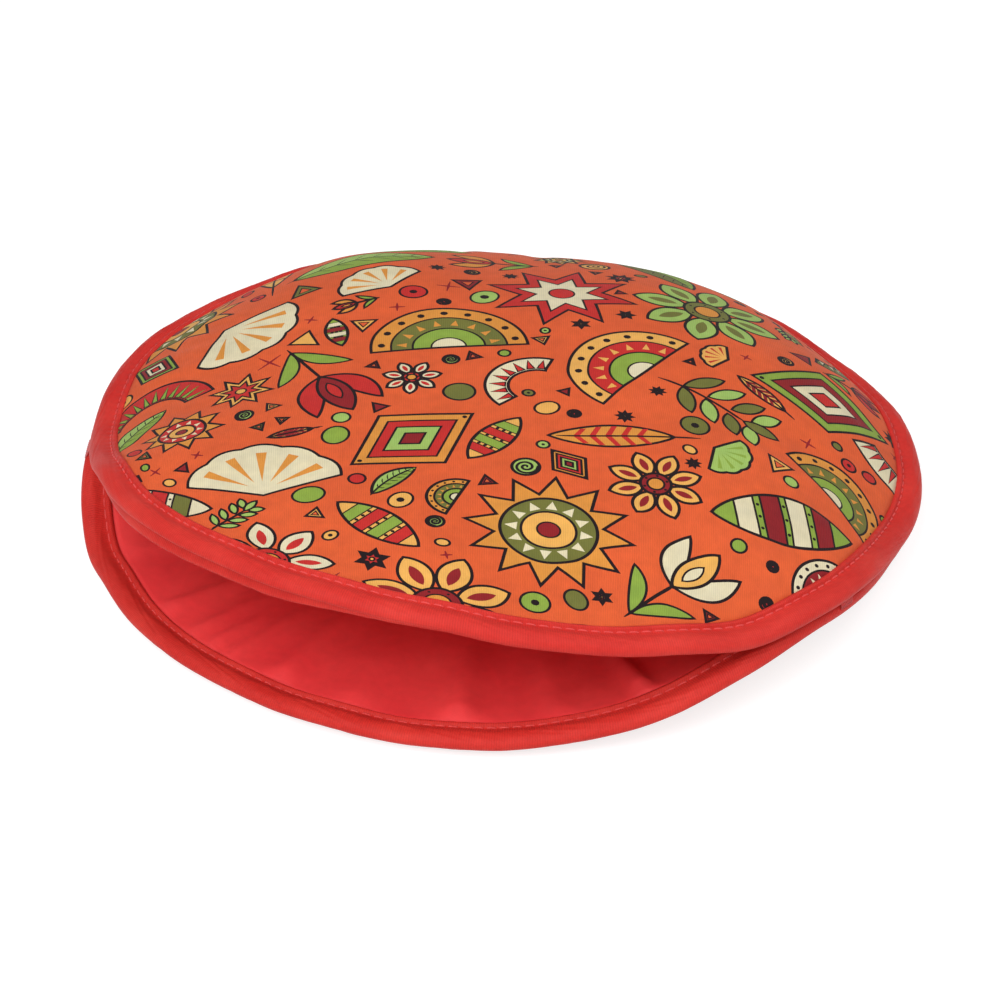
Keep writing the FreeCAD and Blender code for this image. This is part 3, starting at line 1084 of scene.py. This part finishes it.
def bound_edge(name, edge, seed, slack=None):
    """The tape folded over a panel's edge: rolled outside, sunk along its stitches, and a ridge inside.

    slack, from 0 to 1 by bearing, is where the tape's lower half hangs off the edge in a roll of its own."""
    bearing = np.linspace(0, 360, STITCHES * STEPS_PER_STITCH, endpoint=False)
    upper = tape_section()
    inset = np.concatenate([upper, upper[-2::-1], [TAPE_WIDTH - 0.1, 1.4, 1.4, TAPE_WIDTH - 0.1]])
    stand = np.concatenate([tape_height(upper), -tape_height(upper[-2::-1]), [-0.9, -0.9, 0.9, 0.9]])
    side = np.sign(stand)
    outside = np.arange(len(inset)) < len(inset) - 4
    b, a, h = bearing[:, None], inset[None, :], stand[None, :]
    phase = np.radians(bearing * STITCHES)[:, None]
    fade = np.exp(-(((a - GROOVE_INSET) / 1.5) ** 2))
    pull = STITCH_PULL * np.cos(phase + 0.35 * (a - GROOVE_INSET)) * fade
    soft = ripple(b + 2.2 * a, seed, (61, 83, 107, 131), 0.10)
    soft = soft + ripple(b - 1.1 * a, seed + 1, (37, 53), 0.07)
    swell = np.sin(np.clip(a / GROOVE_INSET, 0, 1) * math.pi) ** 0.7
    stands = h + side[None, :] * outside[None, :] * (soft * swell - pull)
    across = TAPE_WIDTH / 2 - np.broadcast_to(a, stands.shape)
    if slack is not None:
        loose = slack(bearing)[:, None] * outside[None, :]
        turn = np.degrees(np.arctan2(h, np.maximum(BULGE_MIDDLE - a, 0) + 1e-6))
        lobe = smooth(-(turn + 8) / 40) * smooth((GROOVE_INSET - a) / 3)
        crease = np.exp(-(((turn + 20) / 11) ** 2)) * (a < BULGE_MIDDLE)
        stands = stands - loose * lobe * SLACK_DROP
        across = across - loose * crease * SLACK_CREASE + loose * lobe * SLACK_OUT
    rings = edge.place(np.broadcast_to(b, stands.shape), across, stands)
    u = np.radians(np.append(bearing, 360)) * BINDING_RADIUS
    lengths = np.hypot(np.diff(np.append(inset, inset[0])), np.diff(np.append(stand, stand[0])))
    made = swept(name, rings, u, np.concatenate([[0], np.cumsum(lengths)]), TAPE)
    return made


# ---------------------------------------------------------------- thread
STITCH_RADIUS, LINK_RADIUS, TACK_RADIUS = 0.27, 0.22, 0.3
STITCH_HALF = 1.65           # half a stitch's length
TACK_PITCH = 0.82
THREAD_SIDES = 7


def threads(name, paths, thickness):
    """Short separate lengths of thread, each through (count, steps, 3) points, thinner at its ends."""
    count, steps = paths.shape[:2]
    along = unit(np.gradient(paths, axis=1))
    across = np.cross(along, [0.1, 0.2, 1.0])
    weak = np.linalg.norm(across, axis=2) < 0.3
    across[weak] = np.cross(along[weak], [1.0, 0.1, 0.0])
    across = unit(across)
    off = np.cross(across, along)
    turn = 2 * math.pi * np.arange(THREAD_SIDES) / THREAD_SIDES
    share = np.linspace(-1, 1, steps)
    radius = thickness * np.sqrt(np.clip(1 - 0.8 * share**6, 0, 1))
    ring = across[:, :, None] * np.cos(turn)[:, None] + off[:, :, None] * np.sin(turn)[:, None]
    points = paths[:, :, None] + ring * radius[None, :, None, None]
    faces, corners = [], []
    length = np.linalg.norm(paths[0, -1] - paths[0, 0])
    for n in range(count):
        rings = (n * steps + np.arange(steps))[:, None] * THREAD_SIDES + np.arange(THREAD_SIDES)
        for a, b in zip(rings, rings[1:]):
            faces += zip(a, np.roll(a, -1), np.roll(b, -1), b)
        faces += [rings[0][::-1], rings[-1]]
        for i in range(steps):
            u = n * STITCH_PITCH + length * i / (steps - 1)
            corners += [(u, 0.25 * j) for j in range(THREAD_SIDES)]
    made = make_mesh(name, points.reshape(-1, 3), faces)
    set_cloth_map(made, np.array(corners))
    made.data.materials.append(THREAD)
    return made


def topstitches(name, edge, side):
    """The stitches on one face of a binding, sunk into its groove. side is 1 for the upper face."""
    share = np.linspace(-1, 1, 7)
    middle = (np.arange(STITCHES) + 0.5)[:, None] * 360 / STITCHES
    bearing = middle + math.degrees(STITCH_HALF / BINDING_RADIUS) * share
    across = TAPE_WIDTH / 2 - GROOVE_INSET + 0.1 * share
    rise = GROOVE_HEIGHT + 0.12 - 0.34 * share**4
    return threads(name, edge.place(bearing, across, side * rise), STITCH_RADIUS)


def joining_links(name):
    """The thread that joins the two bindings, seen between them as a row of short links."""
    closed = 360 - (MOUTH_END - MOUTH_START)
    count = int(math.radians(closed) * BINDING_RADIUS / STITCH_PITCH)
    bearing = np.linspace(MOUTH_END, MOUTH_END + closed, count)
    up, down = (edge.place(bearing, 1.5, stand) for edge, stand in ((TOP, -2.4), (BOTTOM, 2.4)))
    steps = np.linspace(0, 1, 4)[None, :, None]
    return threads(name, up[:, None] + (down - up)[:, None] * steps, LINK_RADIUS)


def bar_tack(name, middle):
    """A block of close threads across the crevice between the two bindings, at one end of the mouth."""
    bearing = middle + np.degrees(np.arange(-4, 5) * TACK_PITCH / OUTER_RADIUS)
    stations = [(TOP, 4.2, -1.7), (TOP, 4.9, -1.9), (BOTTOM, 4.9, 1.9), (BOTTOM, 4.2, 1.7)]
    paths = np.stack([edge.place(bearing, across, up) for edge, across, up in stations], 1)
    return threads(name, paths, TACK_RADIUS)


# ---------------------------------------------------------------- putting the pouch together
def zones(piece):
    return [f"top_{piece}_{zone}" for zone in ("rear", "fold", "flap")]


def build_pouch():
    settled = simulated_puckers(lambda p: dome(p, 0, COVER_TUCK), growth=0.012, pressure=3.0, seed=5)
    cover_field = fine_part(settled, coarse=14, deepest=0.5, tallest=1.0)
    settled = simulated_puckers(
        lambda p: dish(p, PANEL_THICKNESS, COVER_TUCK), growth=0.03, pressure=1.5, seed=6
    )
    lining_field = fine_part(settled, coarse=16, deepest=0.3, tallest=2.2)
    top_folds, low_folds = radial_folds(TOP_LINING_FOLDS), radial_folds(BOTTOM_LINING_FOLDS)

    top_panel = padded_panel("top_cover", dome, 1, 7, lambda p: read_grid(cover_field, p))
    top_lining = lining_sheet("top_lining", dome, 1, lambda p: read_grid(lining_field, -p) + top_folds(p))
    low_panel = padded_panel("bottom_panel", dish, -1, 19, lambda p: 0.5 * read_grid(cover_field, -p))
    low_lining = lining_sheet(
        "bottom_lining_sheet", dish, -1, lambda p: read_grid(lining_field, p) + low_folds(p)
    )
    bending = {
        top_panel: zones("cover") + zones("batting"),
        top_lining: zones("lining"),
        bound_edge("top_binding", TOP, 41, closed_curve(LIP_SLACK)): zones("binding"),
        topstitches("top_needle_thread", TOP, 1): zones("needle_thread"),
        topstitches("top_bobbin_thread", TOP, -1): zones("bobbin_thread"),
    }
    still = {
        low_panel: ["bottom_cover", "bottom_batting"],
        low_lining: ["bottom_lining"],
        bound_edge("bottom_bound_edge", BOTTOM, 51): ["bottom_binding"],
        topstitches("bottom_upper_stitches", BOTTOM, 1): ["bottom_bobbin_thread"],
        topstitches("bottom_under_stitches", BOTTOM, -1): ["bottom_needle_thread"],
        joining_links("joining_links"): ["joining_seam_thread"],
        bar_tack("left_tack", MOUTH_START): ["bar_tack_left"],
        bar_tack("right_tack", MOUTH_END): ["bar_tack_right"],
    }
    for piece, nodes in bending.items():
        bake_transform(piece)
        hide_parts(*nodes)
    for piece, nodes in still.items():
        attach(piece, "pouch")
        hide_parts(*nodes)


# ---------------------------------------------------------------- floor, light and camera
# Distances and sizes are metres here.
CAMERA_AZIMUTH, CAMERA_ELEVATION = 20.0, 33.7
CAMERA_DISTANCE = 1.2
CAMERA_LENS = 118.95
AIM_LEFT, AIM_HEIGHT = 0.0026, 0.0005       # where the camera looks, off the middle of the table
LAMP_DISTANCE, LAMP_SIZE = 1.7, 1.2
# Name, azimuth from the camera's, elevation and watts.
LAMPS = [("key", -45, 55, 12.4), ("front", -15, 35, 10.5), ("fill", 75, 55, 10.8)]
SKY_STRENGTH = 0.3
FLOOR_SIZE, FLOOR_LEVEL = 8, -0.0005
FLOOR_GREY, SHADOWED_GREY, FLOOR_GLOW = 0.86, 0.4, 0.76


def build_floor():
    """A pale floor that keeps its shadow and looks white to the camera, and is plain grey to the pouch."""
    bpy.ops.mesh.primitive_plane_add(size=FLOOR_SIZE, location=(0, 0, FLOOR_LEVEL))
    floor = bpy.context.object
    floor.name = "floor"
    nodes = Nodes("pale_floor")
    nodes.tree.nodes.clear()
    rays = nodes.add("ShaderNodeLightPath").outputs
    seen = nodes.math("MAXIMUM", rays["Is Camera Ray"], rays["Is Glossy Ray"])
    plain, dimmer = (
        nodes.add("ShaderNodeBsdfDiffuse", [("Color", (grey, grey, grey, 1))]).outputs[0]
        for grey in (FLOOR_GREY, SHADOWED_GREY)
    )
    glow = nodes.add("ShaderNodeEmission", [("Color", (1, 1, 1, 1)), ("Strength", FLOOR_GLOW)])
    white = nodes.add("ShaderNodeAddShader", [(0, dimmer), (1, glow.outputs[0])])
    mix = nodes.add("ShaderNodeMixShader", [(0, seen), (1, plain), (2, white.outputs[0])])
    nodes.add("ShaderNodeOutputMaterial", [(0, mix.outputs[0])])
    floor.data.materials.append(nodes.material)


def aimed(name, data, azimuth, elevation, distance, aim=Vector()):
    """Places a lamp or camera so many degrees round from the front and up, looking at a point."""
    a, e = math.radians(azimuth), math.radians(elevation)
    away = Vector((math.sin(a) * math.cos(e), -math.cos(a) * math.cos(e), math.sin(e)))
    holder = bpy.data.objects.new(name, data)
    bpy.context.scene.collection.objects.link(holder)
    holder.location = aim + away * distance
    holder.rotation_mode = "QUATERNION"
    holder.rotation_quaternion = away.to_track_quat("Z", "Y")
    return holder


def build_lights():
    world = bpy.data.worlds.new("studio")
    bpy.context.scene.world = world
    world.use_nodes = True
    background = world.node_tree.nodes["Background"]
    background.inputs["Color"].default_value = (1, 1, 1, 1)
    background.inputs["Strength"].default_value = SKY_STRENGTH
    for name, turn, elevation, watts in LAMPS:
        light = bpy.data.lights.new(name, "AREA")
        light.size, light.energy = LAMP_SIZE, watts
        aimed(name, light, CAMERA_AZIMUTH + turn, elevation, LAMP_DISTANCE)


def build_camera():
    camera = bpy.data.cameras.new("camera")
    camera.lens, camera.sensor_width = CAMERA_LENS, 36
    camera.clip_start, camera.clip_end = 0.05, 20
    a = math.radians(CAMERA_AZIMUTH)
    aim = Vector((0, 0, AIM_HEIGHT)) - Vector((math.cos(a), math.sin(a), 0)) * AIM_LEFT
    holder = aimed("camera", camera, CAMERA_AZIMUTH, CAMERA_ELEVATION, CAMERA_DISTANCE, aim)
    bpy.context.scene.camera = holder


build_pouch()
build_floor()
build_lights()
build_camera()
bpy.context.scene.view_settings.view_transform = "Standard"
bpy.context.view_layer.update()
